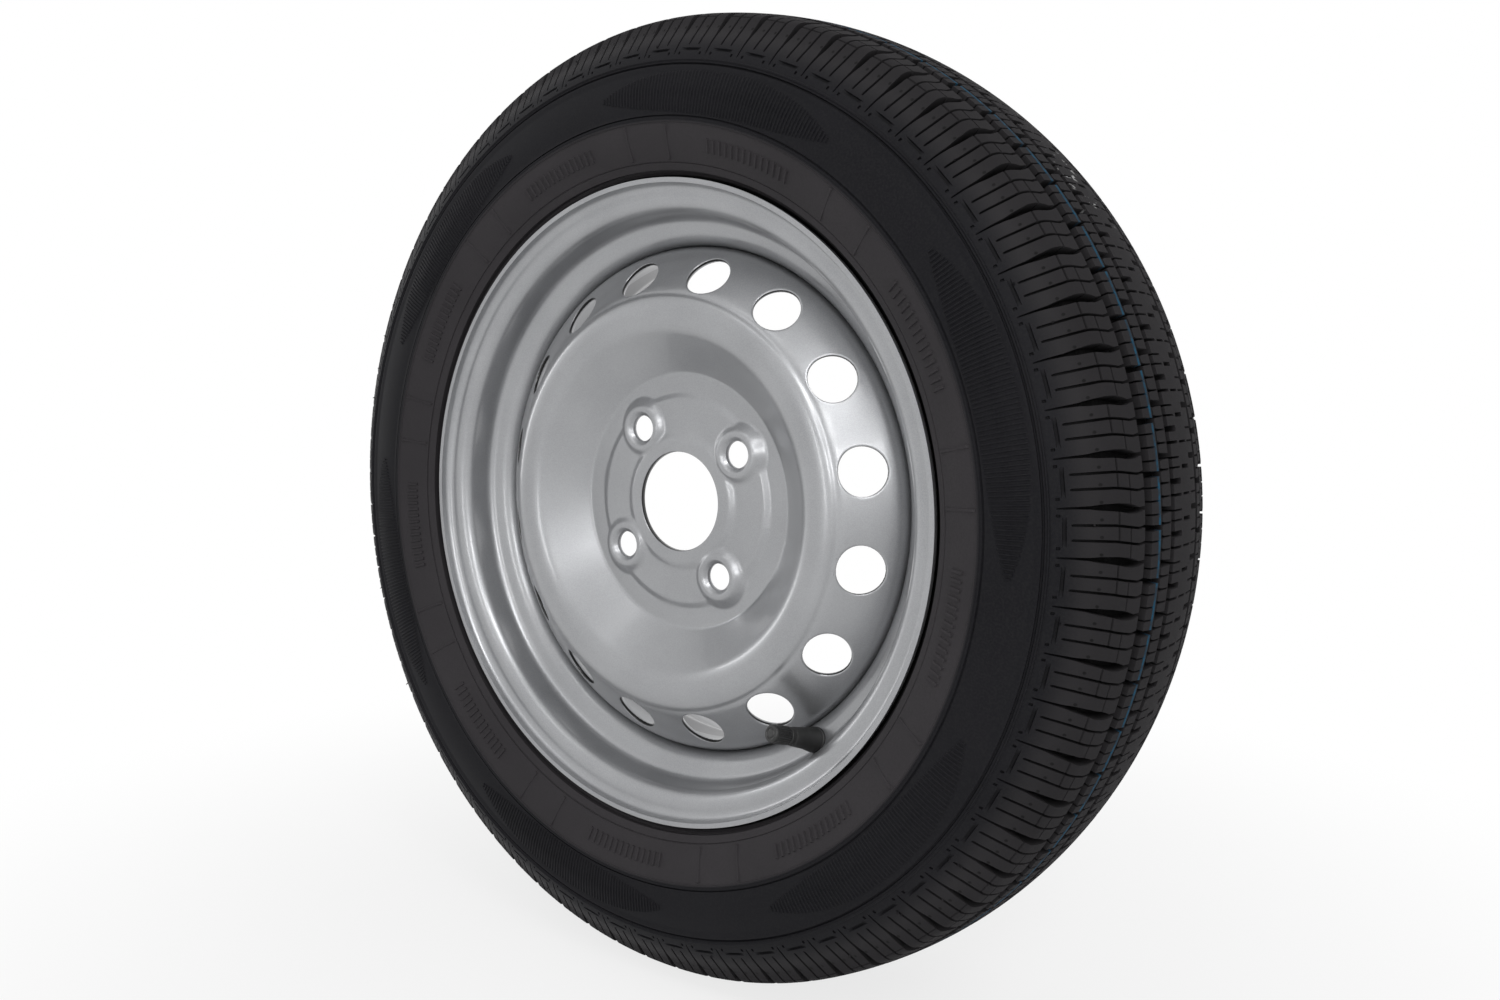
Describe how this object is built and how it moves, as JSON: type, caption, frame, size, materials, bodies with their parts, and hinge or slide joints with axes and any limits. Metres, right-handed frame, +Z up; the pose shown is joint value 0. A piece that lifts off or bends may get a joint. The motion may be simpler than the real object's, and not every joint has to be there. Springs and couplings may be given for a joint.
{
  "type": "wheel and tyre assembly",
  "caption": "Pressed steel trailer wheel with a ring of round vent holes, a bolt pad and a snap-in valve, carrying a grooved all-season rubber tyre.",
  "frame": {"origin": "on the wheel's axis, in the middle plane of the tyre", "axes": "+Y along the wheel's axis towards the hub, -Y out of the outer face, +Z up"},
  "size_m": [0.5469, 0.157, 0.547],
  "materials": {
    "tyre_rubber": "matt black, with a thin blue line on one rib",
    "silver_paint": "satin silver paint with fine flake",
    "valve_rubber": "matt black",
    "stem_brass": "turned",
    "seal_rubber": "matt",
    "spring_steel": "drawn wire",
    "cap_plastic": "moulded black"
  },
  "bodies": {
    "wheel": {"tyre": "tyre_rubber", "rim": "silver_paint", "wheel_disc": "silver_paint", "disc_welds": "silver_paint", "valve_body": "valve_rubber", "valve_stem": "stem_brass", "core_plug": "stem_brass", "core_barrel": "stem_brass", "core_gasket": "seal_rubber", "core_spring": "spring_steel"},
    "pin": {"core_pin": "stem_brass", "core_cup": "stem_brass", "core_washer": "seal_rubber"},
    "seal": {"cap_seal": "seal_rubber"},
    "cap": {"valve_cap": "cap_plastic"}
  },
  "joints": [
    {"name": "core_press", "type": "slide", "parent": "wheel", "child": "pin", "axis": [0.2291, 0.9272, -0.2964], "range_m": [0, 0.0015], "stiffness_N_per_m": 1000, "springref_m": -0.002, "deforming": ["core_spring"]},
    {"name": "cap_lift", "type": "slide", "parent": "wheel", "child": "seal", "axis": [-0.2291, -0.9272, 0.2964], "range_m": [0, 0.0088]},
    {"name": "cap_turn", "type": "hinge", "parent": "seal", "child": "cap", "pos_m": [0.08828, -0.06264, -0.11422], "axis": [-0.2291, -0.9272, 0.2964], "range_deg": [0, 3996]}
  ],
  "couplings": [
    {"joint": "cap_turn", "follows": "cap_lift", "rad_per_m": 7915.8}
  ]
}
